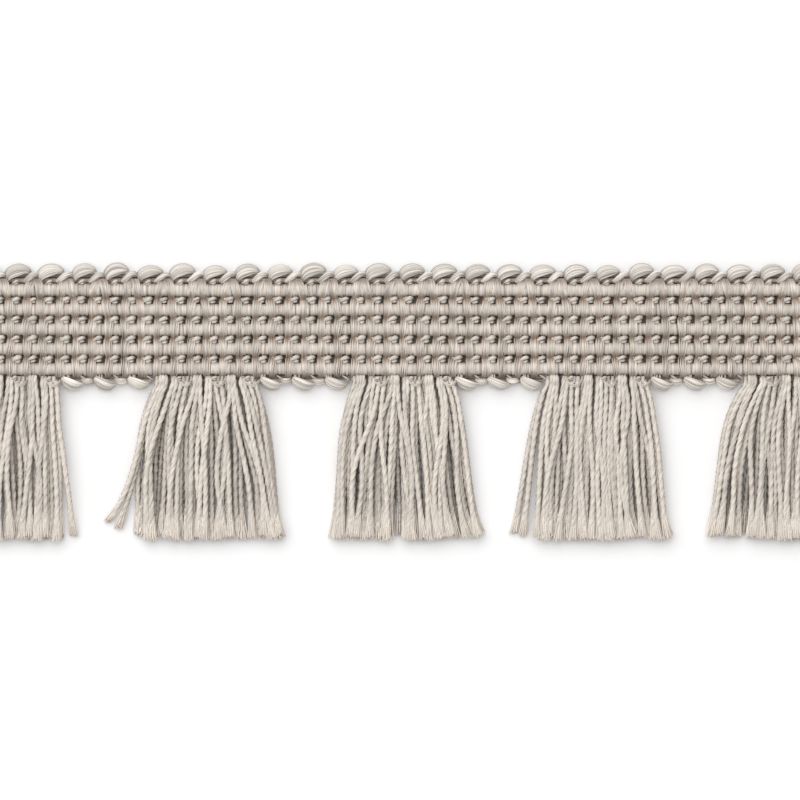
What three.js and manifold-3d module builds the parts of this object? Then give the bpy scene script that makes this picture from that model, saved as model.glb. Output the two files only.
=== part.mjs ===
// A cut length of bell fringe trim, lying face up. A woven heading carries five ribs along its face.
// Its upper edge is a row of scallops, and its lower edge takes turns between three scallops and one bell of cut yarn.
// Frame, in millimetres: X runs along the trim from the middle bell, +Y points to the upper scallops,
// +Z points out of the face. The origin is on the heading's flat back, under the middle rib.
import * as THREE from "three";
import { mergeVertices } from "three/addons/utils/BufferGeometryUtils.js";
import Module from "manifold-3d";

// Driving dimensions
const BELL_PITCH = 29.0; // from one bell to the next
const TURNS_PER_BELL = 6; // turns of the weft in one pitch, each a scallop on the upper edge
const TURN_PITCH = BELL_PITCH / TURNS_PER_BELL;
const TRIM_LEFT = -70.0; // where the length is cut
const TRIM_RIGHT = 71.6;
const GAP = 0.3; // between neighbouring pieces

const RIB_COUNT = 5;
const RIB_PITCH = 2.9;
const RIB_HALF_WIDTH = 0.87;
const RIB_HEIGHT = 1.5;
const RIB_WAVE = 0.05; // how far a rib strays from straight
const RIB_WAVE_LENGTH = 47;
const RIB_STEPS = 12;
const RIB_FACETS = 5;
const RIB_EDGE_HEIGHT = 0.25; // of the flat edge on each side, below the round face
const RIB_FLAT = 0.6; // share of the width that is flat underneath

const PASS_PITCH = TURN_PITCH / 2; // the weft passes twice over the ribs in each turn
const GROUND_VALLEY = 0.6; // ground thickness between two passes of the weft
const GROUND_RIDGE = 0.9; // and under a pass
const GROUND_HALF_WIDTH = 6.65;

const UPPER_SCALLOP_COUNT = 29;
const UPPER_SCALLOP_FIRST = -14; // number of the leftmost one, counted from the middle bell
const UPPER_SCALLOP_OFFSET = 0.335; // in turns, past the turn it is numbered from
const LOWER_SCALLOP_TURNS = [2, 3, 4]; // in turns, past the bell on their left

const YARN_LENGTH = 22.9; // from the foot to the cut end
const FOOT_HALF_LENGTH = 7.5;
const FOOT_WIDTH = 1.1;
const FOOT_HEIGHT = 2.3;
const FOOT_TUFT_RISE = 0.3; // the three tufts stand above the foot by this much
const FOOT_STEPS = 12;
const TUFTS_PER_BELL = 3;
const YARN_STATIONS = [0, 0.16, 0.42, 0.72, 1]; // shares of the yarn's length, closest where it bends most
const YARN_ROOT_WIDTH = 0.54;
const YARN_TIP_WIDTH = 0.78;
const YARN_HEIGHT = 0.8;
const ROOT_DEPTH = 0.6; // how far a yarn starts inside the foot
const ROOT_SPAN = 14.4; // from the first root in a layer to the last
const UNEVEN_CUT = 0.45; // how far the cut ends differ

// The shapes of the two kinds of scallop: half sizes, and the place of the middle.
const UPPER_SCALLOP = { halfLength: 2.08, halfWidth: 1.32, halfHeight: 1.15, y: 8.34, z: 1.2, tiltDeg: 9 };
const LOWER_SCALLOP = { halfLength: 1.7, halfWidth: 0.9, halfHeight: 1.0, y: -8.0, z: 1.05, tiltDeg: -12 };

// The edge cords that carry the scallops: the edge next to the heading, and the one away from it.
const UPPER_EDGE_CORD = { inner: 6.96, outer: 8.3, height: 1.7 };
const LOWER_EDGE_CORD = { inner: -6.96, outer: -7.95, height: 1.5 };

// Each bell lies a little differently: its middle, how far each side swings out, and how far its tips kick out.
const BELLS = [
  { shift: -0.4, flareLeft: 0.36, flareRight: 0.13, kickLeft: 0.12, kickRight: 0.0, phase: 0.4 },
  { shift: -0.1, flareLeft: 0.42, flareRight: 0.42, kickLeft: 0.03, kickRight: 0.18, phase: 2.1 },
  { shift: 0.0, flareLeft: 0.34, flareRight: 0.38, kickLeft: 0.09, kickRight: 0.26, phase: 3.9 },
  { shift: -0.5, flareLeft: 0.17, flareRight: 0.33, kickLeft: 0.08, kickRight: 0.22, phase: 5.2 },
  { shift: -0.3, flareLeft: 0.58, flareRight: 0.36, kickLeft: 0.13, kickRight: 0.12, phase: 1.2 },
];

// The yarns of a bell lie in three layers, the first one on the surface.
const LAYERS = [
  { yarns: 18, rootZ: 0.4, tipZ: 0.4, phase: 0.0 },
  { yarns: 17, rootZ: 1.3, tipZ: 1.25, phase: 2.3 },
  { yarns: 16, rootZ: 2.2, tipZ: 2.1, phase: 4.1 },
];

// Side-to-side waves that bunch the yarns: how far, how long, and how much they turn towards the tips.
const WANDERS = [
  { reach: 0.13, length: 4.3, drift: 1.7, phase: 0.0 },
  { reach: 0.3, length: 9.7, drift: -1.1, phase: 1.3 },
];

// Outermost yarns that stray from their bell and sink to the surface. Layer 2 is the top one. The place is
// counted inwards from that side, reach is the distance at the tip, and a low curve parts them near the foot.
const STRAYS = [
  { bell: 0, layer: 2, fromLeft: false, place: 0, reach: 1.9, curve: 1.6, shorter: 0.0 },
  { bell: 1, layer: 2, fromLeft: true, place: 0, reach: 4.3, curve: 3.0, shorter: 1.2 },
  { bell: 1, layer: 1, fromLeft: true, place: 0, reach: 2.3, curve: 2.5, shorter: 0.6 },
  { bell: 3, layer: 1, fromLeft: true, place: 0, reach: 1.9, curve: 0.6, shorter: 0.2 },
  { bell: 3, layer: 0, fromLeft: true, place: 0, reach: 3.1, curve: 0.6, shorter: 0.1 },
];

const STRAY_FALL = 7; // a stray sinks only once it is clear of its bell
const FLARE_RATE = 4; // how soon a bell swings out below its foot
const KICK_CURVE = 4;
const FULL_WANDER_FLARE = 0.4; // yarns wander less where their bell is slimmer than this

const LUMP_AROUND = 8;
const LUMP_DOWN = 5;

const wasm = await Module();
wasm.setup();

const material = (color, roughness) => new THREE.MeshStandardMaterial({ color, roughness, metalness: 0 });
const HEADING_CLOTH = material(0xb3a799, 0.8);
const RIB_CORD = material(0xcac1b5, 0.55);
const SCALLOP_YARN = material(0xc6bfb3, 0.5);
const BELL_YARN = material(0xcfc7bc, 0.5);

const lerp = THREE.MathUtils.lerp;
const TAU = Math.PI * 2;

// The same number from -1 to 1 each time for the same place.
function scatter(place) {
  const s = Math.sin(place * 12.9898 + 4.1414) * 43758.5453;
  return 2 * (s - Math.floor(s)) - 1;
}

// A closed solid through rings with the same number of points, each wound anticlockwise seen from the first ring.
function loft(rings) {
  const sides = rings[0].length;
  const positions = rings.flat().flatMap((p) => [p.x, p.y, p.z]);
  const index = [];
  for (let r = 0; r + 1 < rings.length; r++) {
    for (let s = 0; s < sides; s++) {
      const a = r * sides + s;
      const b = r * sides + ((s + 1) % sides);
      index.push(a, a + sides, b, b, a + sides, b + sides);
    }
  }
  const last = (rings.length - 1) * sides;
  for (let s = 1; s + 1 < sides; s++) {
    index.push(0, s, s + 1);
    index.push(last, last + s + 1, last + s);
  }
  const geometry = new THREE.BufferGeometry();
  geometry.setAttribute("position", new THREE.Float32BufferAttribute(positions, 3));
  geometry.setIndex(index);
  return geometry;
}

function toSolid(geometry) {
  const bare = geometry.clone();
  bare.deleteAttribute("normal");
  bare.deleteAttribute("uv");
  const merged = mergeVertices(bare, 1e-4);
  return new wasm.Manifold(
    new wasm.Mesh({
      numProp: 3,
      vertProperties: new Float32Array(merged.attributes.position.array),
      triVerts: new Uint32Array(merged.index.array),
    }),
  );
}

function toGeometry(solid) {
  const mesh = solid.getMesh();
  const geometry = new THREE.BufferGeometry();
  geometry.setAttribute("position", new THREE.Float32BufferAttribute(mesh.vertProperties, 3));
  geometry.setIndex([...mesh.triVerts]);
  geometry.computeVertexNormals();
  return geometry;
}

function fuse(geometries) {
  return toGeometry(geometries.map(toSolid).reduce((joined, solid) => joined.add(solid)));
}

function named(name, geometry, finish) {
  const mesh = new THREE.Mesh(geometry, finish);
  mesh.name = name;
  geometry.computeVertexNormals();
  return mesh;
}

// The woven ground: a tape whose face rises under each pass of the weft and sinks between them.
function groundTape() {
  const outline = new THREE.Shape();
  outline.moveTo(TRIM_LEFT, 0);
  outline.lineTo(TRIM_RIGHT, 0);
  outline.lineTo(TRIM_RIGHT, GROUND_VALLEY);
  const firstPass = Math.ceil(TRIM_LEFT / PASS_PITCH + 0.5);
  const lastPass = Math.floor(TRIM_RIGHT / PASS_PITCH - 0.5);
  for (let pass = lastPass; pass >= firstPass; pass--) {
    if (pass === lastPass) outline.lineTo((pass + 0.5) * PASS_PITCH, GROUND_VALLEY);
    outline.lineTo(pass * PASS_PITCH, GROUND_RIDGE);
    outline.lineTo((pass - 0.5) * PASS_PITCH, GROUND_VALLEY);
  }
  outline.lineTo(TRIM_LEFT, GROUND_VALLEY);
  outline.closePath();
  const geometry = new THREE.ExtrudeGeometry(outline, { depth: 2 * GROUND_HALF_WIDTH, bevelEnabled: false });
  geometry.rotateX(Math.PI / 2).translate(0, GROUND_HALF_WIDTH, 0);
  return named("heading_ground", geometry, HEADING_CLOTH);
}

// One rib: a cord with a flat underside and a round face, straying a little from straight.
function ribCord(number) {
  const middle = ((RIB_COUNT + 1) / 2 - number) * RIB_PITCH;
  const bottom = GROUND_RIDGE + GAP;
  const section = [];
  for (let facet = 0; facet <= RIB_FACETS; facet++) {
    const turn = (Math.PI * facet) / RIB_FACETS;
    const height = RIB_EDGE_HEIGHT + (RIB_HEIGHT - RIB_EDGE_HEIGHT) * Math.sin(turn);
    section.push([RIB_HALF_WIDTH * Math.cos(turn), bottom + height]);
  }
  section.push([-RIB_FLAT * RIB_HALF_WIDTH, bottom], [RIB_FLAT * RIB_HALF_WIDTH, bottom]);
  const rings = [];
  for (let step = 0; step <= RIB_STEPS; step++) {
    const x = lerp(TRIM_RIGHT, TRIM_LEFT, step / RIB_STEPS);
    const wave = RIB_WAVE * Math.sin((TAU * x) / RIB_WAVE_LENGTH + number);
    rings.push(section.map(([y, z]) => new THREE.Vector3(x, middle + wave + y, z)));
  }
  return named(`rib_cord_${number}`, loft(rings), RIB_CORD);
}

// A rounded lump of yarn at x, tilted in the plane of the trim.
function lump(x, shape) {
  return new THREE.SphereGeometry(1, LUMP_AROUND, LUMP_DOWN)
    .rotateX(Math.PI / 2)
    .scale(shape.halfLength, shape.halfWidth, shape.halfHeight)
    .rotateZ(THREE.MathUtils.degToRad(shape.tiltDeg))
    .translate(x, shape.y, shape.z);
}

function edgeCord(left, right, cord) {
  const width = Math.abs(cord.outer - cord.inner);
  return new THREE.BoxGeometry(right - left, width, cord.height).translate(
    (left + right) / 2,
    (cord.inner + cord.outer) / 2,
    cord.height / 2,
  );
}

// The upper edge: one scallop for each turn of the weft.
function upperScallops() {
  const parts = [edgeCord(TRIM_LEFT, TRIM_RIGHT, UPPER_EDGE_CORD)];
  for (let n = 0; n < UPPER_SCALLOP_COUNT; n++) {
    parts.push(lump((UPPER_SCALLOP_FIRST + n + UPPER_SCALLOP_OFFSET) * TURN_PITCH, UPPER_SCALLOP));
  }
  return named("upper_scallops", fuse(parts), SCALLOP_YARN);
}

// The middle of a bell, or of one that would follow past a cut end.
function bellMiddle(index) {
  const nearest = BELLS[THREE.MathUtils.clamp(index, 0, BELLS.length - 1)];
  return (index - (BELLS.length - 1) / 2) * BELL_PITCH + nearest.shift;
}

// The lower edge between two bells, or from an outer bell to the cut end.
function lowerScallops(gapNumber) {
  const leftBell = bellMiddle(gapNumber - 2);
  const rightBell = bellMiddle(gapNumber - 1);
  const left = Math.max(leftBell + FOOT_HALF_LENGTH + GAP, TRIM_LEFT);
  const right = Math.min(rightBell - FOOT_HALF_LENGTH - GAP, TRIM_RIGHT);
  const parts = [edgeCord(left, right, LOWER_EDGE_CORD)];
  for (const turns of LOWER_SCALLOP_TURNS) {
    const x = lerp(leftBell, rightBell, turns / TURNS_PER_BELL);
    const whole = Math.abs(x - (left + right) / 2) < (right - left) / 2 + GAP - LOWER_SCALLOP.halfLength;
    if (whole) parts.push(lump(x, LOWER_SCALLOP));
  }
  return named(`lower_scallops_${gapNumber}`, fuse(parts), SCALLOP_YARN);
}

// Where a yarn lies at t, from 0 at the foot to 1 at its cut end.
function yarnPoint(bell, layer, number, t) {
  const shape = BELLS[bell];
  const { yarns, rootZ, tipZ, phase } = LAYERS[layer];
  const across = number / (yarns - 1);
  const root = (across - 0.5) * ROOT_SPAN;
  const flare = lerp(shape.flareLeft, shape.flareRight, across);
  const kick = lerp(shape.kickLeft, shape.kickRight, across);
  const room = Math.min(1, flare / FULL_WANDER_FLARE);
  let sideways = root * (flare * (1 - Math.exp(-FLARE_RATE * t)) + kick * t ** KICK_CURVE);
  for (const wave of WANDERS) {
    const turn = (TAU * root) / wave.length + wave.phase + phase + shape.phase + wave.drift * t * 2;
    sideways += wave.reach * room * t * (2 - t) * Math.sin(turn);
  }
  let shorter = (UNEVEN_CUT / 2) * (1 + scatter(number + 31 * layer + 101 * bell));
  let z = lerp(rootZ, tipZ, t);
  for (const stray of STRAYS) {
    const place = stray.fromLeft ? number : yarns - 1 - number;
    if (stray.bell !== bell || stray.layer !== layer || stray.place !== place) continue;
    sideways += (stray.fromLeft ? -1 : 1) * stray.reach * t ** stray.curve;
    shorter += stray.shorter;
    z = lerp(rootZ, LAYERS[0].tipZ, t ** STRAY_FALL);
  }
  const drop = t * (YARN_LENGTH - shorter) - sideways ** 2 / (2 * YARN_LENGTH);
  const footEdge = LOWER_EDGE_CORD.inner - FOOT_WIDTH;
  return new THREE.Vector3(bellMiddle(bell) + root + sideways, footEdge - drop, z);
}

// One yarn as a three-sided strand that lies on its flat side.
function yarn(bell, layer, number) {
  const points = YARN_STATIONS.map((t) => yarnPoint(bell, layer, number, t));
  const rings = points.map((p, i) => {
    const ahead = points[Math.min(i + 1, points.length - 1)];
    const behind = points[Math.max(i - 1, 0)];
    const along = ahead.clone().sub(behind).setZ(0).normalize();
    const half = lerp(YARN_ROOT_WIDTH, YARN_TIP_WIDTH, YARN_STATIONS[i]) / 2;
    const side = new THREE.Vector3(-along.y, along.x, 0).multiplyScalar(half);
    const up = new THREE.Vector3(0, 0, YARN_HEIGHT / 2);
    const rootward = new THREE.Vector3(0, i === 0 ? ROOT_DEPTH : 0, 0);
    return [p.clone().sub(side).sub(up), p.clone().add(up), p.clone().add(side).sub(up)].map((corner) =>
      corner.add(rootward),
    );
  });
  return loft(rings);
}

// The foot that binds a bell's roots, with a tuft for each turn of the weft.
function bellFoot(bell) {
  const middle = bellMiddle(bell);
  const inner = LOWER_EDGE_CORD.inner;
  const outer = inner - FOOT_WIDTH;
  const rings = [];
  for (let step = 0; step <= FOOT_STEPS; step++) {
    const x = middle + lerp(FOOT_HALF_LENGTH, -FOOT_HALF_LENGTH, step / FOOT_STEPS);
    const tuft = Math.sin((Math.PI * TUFTS_PER_BELL * step) / FOOT_STEPS) ** 2;
    const top = FOOT_HEIGHT + FOOT_TUFT_RISE * tuft;
    rings.push([
      new THREE.Vector3(x, outer, 0),
      new THREE.Vector3(x, inner, 0),
      new THREE.Vector3(x, inner, top - FOOT_TUFT_RISE),
      new THREE.Vector3(x, outer, top),
    ]);
  }
  return loft(rings);
}

function bell(index) {
  const parts = [bellFoot(index)];
  LAYERS.forEach(({ yarns }, layer) => {
    for (let number = 0; number < yarns; number++) parts.push(yarn(index, layer, number));
  });
  return named(`bell_${index + 1}`, fuse(parts), BELL_YARN);
}

const trim = new THREE.Group();
trim.name = "bell_fringe_trim";
trim.add(groundTape());
for (let number = 1; number <= RIB_COUNT; number++) trim.add(ribCord(number));
trim.add(upperScallops());
for (let gapNumber = 1; gapNumber <= BELLS.length + 1; gapNumber++) trim.add(lowerScallops(gapNumber));
for (let index = 0; index < BELLS.length; index++) trim.add(bell(index));

export default trim;
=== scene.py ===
"""A cut length of bell fringe trim lying face up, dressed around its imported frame."""

import math

import bpy
import numpy as np
from bpy.props import FloatProperty, FloatVectorProperty, IntProperty, PointerProperty
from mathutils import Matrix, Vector


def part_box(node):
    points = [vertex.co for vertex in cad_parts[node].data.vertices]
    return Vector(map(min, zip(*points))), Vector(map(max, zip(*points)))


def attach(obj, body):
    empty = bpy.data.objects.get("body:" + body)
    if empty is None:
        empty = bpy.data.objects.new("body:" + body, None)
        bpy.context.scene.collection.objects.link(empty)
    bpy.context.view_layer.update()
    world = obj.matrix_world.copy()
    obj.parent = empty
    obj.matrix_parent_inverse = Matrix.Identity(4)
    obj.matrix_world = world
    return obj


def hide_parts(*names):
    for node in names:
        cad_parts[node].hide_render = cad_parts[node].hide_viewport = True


bl_info = {
    "name": "Bell fringe trim",
    "version": (1, 0, 0),
    "blender": (4, 5, 0),
    "location": "View3D > Sidebar > Trim",
    "description": "Weaves the heading, turns the scallops and hangs the bells of a fringe trim",
    "category": "Object",
}

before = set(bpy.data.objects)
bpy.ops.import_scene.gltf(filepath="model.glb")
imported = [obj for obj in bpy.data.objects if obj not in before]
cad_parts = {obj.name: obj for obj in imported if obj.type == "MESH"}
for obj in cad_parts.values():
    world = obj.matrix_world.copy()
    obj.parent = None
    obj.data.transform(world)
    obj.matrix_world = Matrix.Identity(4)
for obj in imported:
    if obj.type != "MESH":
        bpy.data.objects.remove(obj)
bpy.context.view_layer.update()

MM = 0.001
TAU = 2 * math.pi
BELLS = 5
RIBS = 5

GROUND_LOW, GROUND_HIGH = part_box("heading_ground")
TRIM_LEFT = GROUND_LOW.x / MM
TRIM_RIGHT = GROUND_HIGH.x / MM

# Each bell lies a little differently: its middle, how far each side swings out, how far its tips kick out.
BELL_SHAPES = [
    {"shift": -0.4, "flare": (0.36, 0.13), "kick": (0.12, 0.0), "phase": 0.4},
    {"shift": -0.1, "flare": (0.42, 0.42), "kick": (0.03, 0.18), "phase": 2.1},
    {"shift": 0.0, "flare": (0.34, 0.38), "kick": (0.09, 0.26), "phase": 3.9},
    {"shift": -0.5, "flare": (0.14, 0.33), "kick": (0.08, 0.22), "phase": 5.2},
    {"shift": -0.3, "flare": (0.58, 0.36), "kick": (0.13, 0.12), "phase": 1.2},
]

# The layers of a bell from the table up: yarns, height at the foot and at the tip, and how much sooner they end,
# in millimetres.
BELL_LAYERS = [
    {"yarns": 25, "root_z": 0.8, "tip_z": 0.55, "short": 0.35, "phase": 0.0, "loose": 0.4},
    {"yarns": 23, "root_z": 1.5, "tip_z": 1.0, "short": 0.12, "phase": 2.3, "loose": 0.6},
    {"yarns": 21, "root_z": 2.0, "tip_z": 1.6, "short": 0.0, "phase": 4.1, "loose": 1.0},
]
TOP_LAYER = len(BELL_LAYERS) - 1

# Outermost yarns that stray from their bell: side -1 is the left, and reach is in millimetres at the tip.
STRAYS = [
    {"bell": 0, "layer": 2, "side": 1, "reach": 1.9, "curve": 1.6, "shorter": 0.0},
    {"bell": 1, "layer": 2, "side": -1, "reach": 4.3, "curve": 3.0, "shorter": 1.2},
    {"bell": 1, "layer": 1, "side": -1, "reach": 2.3, "curve": 2.5, "shorter": 0.6},
    {"bell": 3, "layer": 1, "side": -1, "reach": 2.25, "curve": 0.6, "shorter": 0.2},
    {"bell": 3, "layer": 0, "side": -1, "reach": 3.4, "curve": 0.6, "shorter": 0.1},
]


class HeadingSizes(bpy.types.PropertyGroup):
    turn_pitch: FloatProperty(
        name="Turn pitch", description="One turn of the weft along the heading", default=29.0 / 6 * MM, unit="LENGTH"
    )
    rib_pitch: FloatProperty(
        name="Rib pitch", description="From one rib to the next", default=2.9 * MM, unit="LENGTH"
    )
    rib_half_width: FloatProperty(
        name="Rib half width", description="Of the wrapped cord", default=0.83 * MM, unit="LENGTH"
    )
    rib_rise: FloatProperty(
        name="Rib rise", description="From the cord's middle to its face", default=1.0 * MM, unit="LENGTH"
    )
    weft_radius: FloatProperty(
        name="Weft half width", description="Of one fine weft yarn", default=0.23 * MM, unit="LENGTH"
    )
    weft_flatness: FloatProperty(
        name="Weft flatness", description="Thickness of a weft yarn as a share of its width", default=0.45, subtype="FACTOR"
    )
    knot_radius: FloatProperty(
        name="Knot radius", description="Of the binder thread where it shows in a groove", default=0.36 * MM, unit="LENGTH"
    )


class BellSizes(bpy.types.PropertyGroup):
    pitch: FloatProperty(name="Bell pitch", description="From one bell to the next", default=29.0 * MM, unit="LENGTH")
    yarn_length: FloatProperty(
        name="Yarn length", description="From the foot to the cut end", default=23.1 * MM, unit="LENGTH"
    )
    yarn_radius: FloatProperty(name="Yarn radius", description="Of one plied yarn", default=0.455 * MM, unit="LENGTH")
    root_span: FloatProperty(
        name="Root span", description="From the first yarn's root to the last", default=14.0 * MM, unit="LENGTH"
    )
    twist_pitch: FloatProperty(
        name="Twist pitch", description="Length of one full turn of the plies", default=4.0 * MM, unit="LENGTH"
    )
    filaments: IntProperty(name="Filaments", description="Fibres that open from each cut end", default=26)
    spread: FloatProperty(
        name="Brush spread", description="How far the fibres open at the cut", default=0.42 * MM, unit="LENGTH"
    )


class YarnColours(bpy.types.PropertyGroup):
    heading: FloatVectorProperty(
        name="Heading", description="Weft of the heading", size=3, subtype="COLOR", default=(0.625, 0.565, 0.505)
    )
    scallop: FloatVectorProperty(
        name="Scallop", description="Yarn of the scallops", size=3, subtype="COLOR", default=(0.69, 0.645, 0.59)
    )
    bell: FloatVectorProperty(
        name="Bell", description="Plied yarn of the bells", size=3, subtype="COLOR", default=(0.678, 0.62, 0.553)
    )
    # Painted shade: a darker colour for the lower layers of a bell, standing in for the shade they lie in.
    under: FloatVectorProperty(
        name="Under painted shade", description="Yarn of a bell's lowest layer", size=3, subtype="COLOR", default=(0.42, 0.38, 0.335)
    )
    # Painted shade: the tint mixed into yarn that lies low in the trim or faces sideways.
    depth: FloatVectorProperty(
        name="Depth", description="Tint of the yarn deep inside the trim", size=3, subtype="COLOR", default=(0.42, 0.33, 0.26)
    )


class StageSettings(bpy.types.PropertyGroup):
    view_width: FloatProperty(
        name="View width", description="Width of the picture on the table", default=118.0 * MM, unit="LENGTH"
    )
    lens: FloatProperty(name="Lens", description="Focal length in millimetres", default=300.0)
    key_power: FloatProperty(name="Window light", description="Power of the soft window light", default=14.1, unit="POWER")
    room_light: FloatProperty(name="Room light", description="Strength of the light from all around", default=0.58)


# Small helpers


def settings(name):
    return getattr(bpy.context.scene, name)


def scatter(place, seed=0.0):
    """The same number from -1 to 1 each time for the same place."""
    s = math.sin(place * 12.9898 + seed * 7.233 + 4.1414) * 43758.5453
    return 2 * (s - math.floor(s)) - 1


def lerp(a, b, t):
    return a + (b - a) * t


def ease(t):
    t = min(max(t, 0.0), 1.0)
    return t * t * (3 - 2 * t)


def smooth_path(knots, count):
    """Points along a smooth curve through knots, rows of numbers that may hold more than a place."""
    knots = np.array(knots, float)
    ends = np.vstack([2 * knots[0] - knots[1], knots, 2 * knots[-1] - knots[-2]])
    out = []
    for i in range(count):
        at = i / (count - 1) * (len(knots) - 1)
        k = min(int(at), len(knots) - 2)
        t = at - k
        p0, p1, p2, p3 = ends[k : k + 4]
        out.append(
            0.5 * (2 * p1 + (p2 - p0) * t + (2 * p0 - 5 * p1 + 4 * p2 - p3) * t**2 + (3 * p1 - p0 - 3 * p2 + p3) * t**3)
        )
    return np.array(out)


def paths_object(name, paths):
    """A curve object with one open spline for each path, whose rows are x, y, z in millimetres and a radius."""
    curve = bpy.data.curves.new(name, "CURVE")
    curve.dimensions = "3D"
    for path in paths:
        spline = curve.splines.new("POLY")
        spline.points.add(len(path) - 1)
        path = np.asarray(path, float)
        co = np.ones((len(path), 4))
        co[:, :3] = path[:, :3] * MM
        spline.points.foreach_set("co", co.ravel())
        spline.points.foreach_set("radius", path[:, 3])
    obj = bpy.data.objects.new(name, curve)
    bpy.context.scene.collection.objects.link(obj)
    return obj


class Tree:
    """A node group under construction."""

    def __init__(self, name, kind="GeometryNodeTree"):
        self.group = bpy.data.node_groups.new(name, kind)
        self.nodes = self.group.nodes
        self.start = self.nodes.new("NodeGroupInput")
        self.end = self.nodes.new("NodeGroupOutput")

    def socket(self, name, kind, out=False, default=None):
        item = self.group.interface.new_socket(name, in_out="OUTPUT" if out else "INPUT", socket_type=kind)
        if default is not None:
            item.default_value = default
        return item.identifier

    def given(self, name):
        return self.start.outputs[name]

    def put(self, kind, *values, **props):
        """Adds a node. Values go to its inputs in order; a capitalised keyword is an input, another a setting."""
        node = self.nodes.new(kind)
        inputs = {key.replace("_", " "): value for key, value in props.items() if key[0].isupper()}
        for key, value in props.items():
            if not key[0].isupper():
                setattr(node, key, value)
        for socket, value in zip([s for s in node.inputs if s.enabled], values):
            self.feed(socket, value)
        for key, value in inputs.items():
            self.feed(next(s for s in node.inputs if s.name == key and s.enabled), value)
        return node

    def feed(self, socket, value):
        if value is None:
            return
        if isinstance(value, bpy.types.Node):
            value = next(s for s in value.outputs if s.enabled)
        if isinstance(value, bpy.types.NodeSocket):
            self.group.links.new(value, socket)
        else:
            socket.default_value = value

    def math(self, operation, *values):
        return self.put("ShaderNodeMath", *values, operation=operation).outputs[0]

    def clamped(self, value):
        return self.put("ShaderNodeClamp", value).outputs[0]

    def vector(self, operation, *values):
        node = self.nodes.new("ShaderNodeVectorMath")
        node.operation = operation
        for socket, value in zip([s for s in node.inputs if s.enabled], values):
            self.feed(socket, value)
        return node.outputs[0]

    def joined_xyz(self, x, y, z):
        return self.put("ShaderNodeCombineXYZ", x, y, z).outputs[0]


def per_spline(tree, field):
    node = tree.nodes.new("GeometryNodeFieldOnDomain")
    node.domain = "CURVE"
    node.data_type = "FLOAT"
    tree.feed(next(s for s in node.inputs if s.enabled), field)
    return next(s for s in node.outputs if s.enabled)


def random_field(tree, low, high, seed):
    node = tree.nodes.new("FunctionNodeRandomValue")
    node.data_type = "FLOAT"
    live = [s for s in node.inputs if s.enabled]
    tree.feed(live[0], low)
    tree.feed(live[1], high)
    tree.feed(node.inputs["Seed"], seed)
    return next(s for s in node.outputs if s.enabled)


def keep(tree, geometry, kind, name, value):
    node = tree.put("GeometryNodeStoreNamedAttribute", data_type=kind, domain="POINT")
    tree.feed(node.inputs["Geometry"], geometry)
    tree.feed(node.inputs["Name"], name)
    tree.feed(next(s for s in node.inputs if s.name == "Value" and s.enabled), value)
    return node.outputs["Geometry"]


def kept(tree, kind, name):
    node = tree.put("GeometryNodeInputNamedAttribute", data_type=kind)
    tree.feed(node.inputs["Name"], name)
    return next(s for s in node.outputs if s.enabled)


def sweep(tree, curves, radius, facets, plies, groove, flatness):
    """Sweeps a section of rounded plies along curves, and keeps where each point lies on its yarn."""
    circle = tree.put("GeometryNodeCurvePrimitiveCircle", mode="RADIUS", Resolution=facets, Radius=1.0)
    place = tree.put("GeometryNodeInputPosition").outputs[0]
    parts = tree.put("ShaderNodeSeparateXYZ", place)
    turn = tree.math("ARCTAN2", parts.outputs["Y"], parts.outputs["X"])
    crest = tree.math("ABSOLUTE", tree.math("SINE", tree.math("MULTIPLY", turn, tree.math("MULTIPLY", plies, 0.5))))
    size = tree.math("SUBTRACT", 1.0, tree.math("MULTIPLY", tree.math("SUBTRACT", 1.0, crest), groove))
    shaped = tree.vector("MULTIPLY", tree.vector("SCALE", place, size), tree.joined_xyz(1.0, flatness, 1.0))
    section = tree.put("GeometryNodeSetPosition", circle, Position=shaped).outputs[0]
    section = keep(tree, section, "FLOAT_VECTOR", "section", tree.put("GeometryNodeInputPosition").outputs[0])
    mesh = tree.nodes.new("GeometryNodeCurveToMesh")
    tree.feed(mesh.inputs["Curve"], curves)
    tree.feed(mesh.inputs["Profile Curve"], section)
    tree.feed(mesh.inputs["Scale"], tree.math("MULTIPLY", tree.put("GeometryNodeInputRadius").outputs[0], radius))
    mesh.inputs["Fill Caps"].default_value = True
    across = tree.put("ShaderNodeSeparateXYZ", kept(tree, "FLOAT_VECTOR", "section"))
    across_mm = [tree.math("MULTIPLY", across.outputs[axis], radius) for axis in ("X", "Y")]
    fibre = tree.joined_xyz(*across_mm, kept(tree, "FLOAT", "along"))
    return keep(tree, mesh.outputs[0], "FLOAT_VECTOR", "fibre", fibre)


def finish_tree(tree, geometry):
    smooth = tree.put("GeometryNodeSetShadeSmooth", geometry)
    real = tree.put("GeometryNodeRealizeInstances", smooth.outputs[0])
    last = tree.nodes.new("GeometryNodeSetMaterial")
    tree.feed(last.inputs["Geometry"], real.outputs[0])
    tree.feed(last.inputs["Material"], tree.given("Material"))
    tree.feed(tree.end.inputs[0], last.outputs[0])
    return tree.group


YARN_INPUTS = [
    ("Yarn radius", "NodeSocketFloat", 0.0005),
    ("Facets", "NodeSocketInt", 8),
    ("Plies", "NodeSocketInt", 2),
    ("Ply groove", "NodeSocketFloat", 0.3),
    ("Flatness", "NodeSocketFloat", 1.0),
    ("Turns per metre", "NodeSocketFloat", 0.0),
    ("Random turn", "NodeSocketFloat", 0.0),
    ("Station spacing", "NodeSocketFloat", 0.0003),
    ("Seed", "NodeSocketInt", 1),
    ("Material", "NodeSocketMaterial", None),
]
BRUSH_INPUTS = [
    ("Filaments", "NodeSocketInt", 12),
    ("Brush start", "NodeSocketFloat", 0.8),
    ("Brush spread", "NodeSocketFloat", 0.0004),
    ("Filament radius", "NodeSocketFloat", 0.00009),
]


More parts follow.
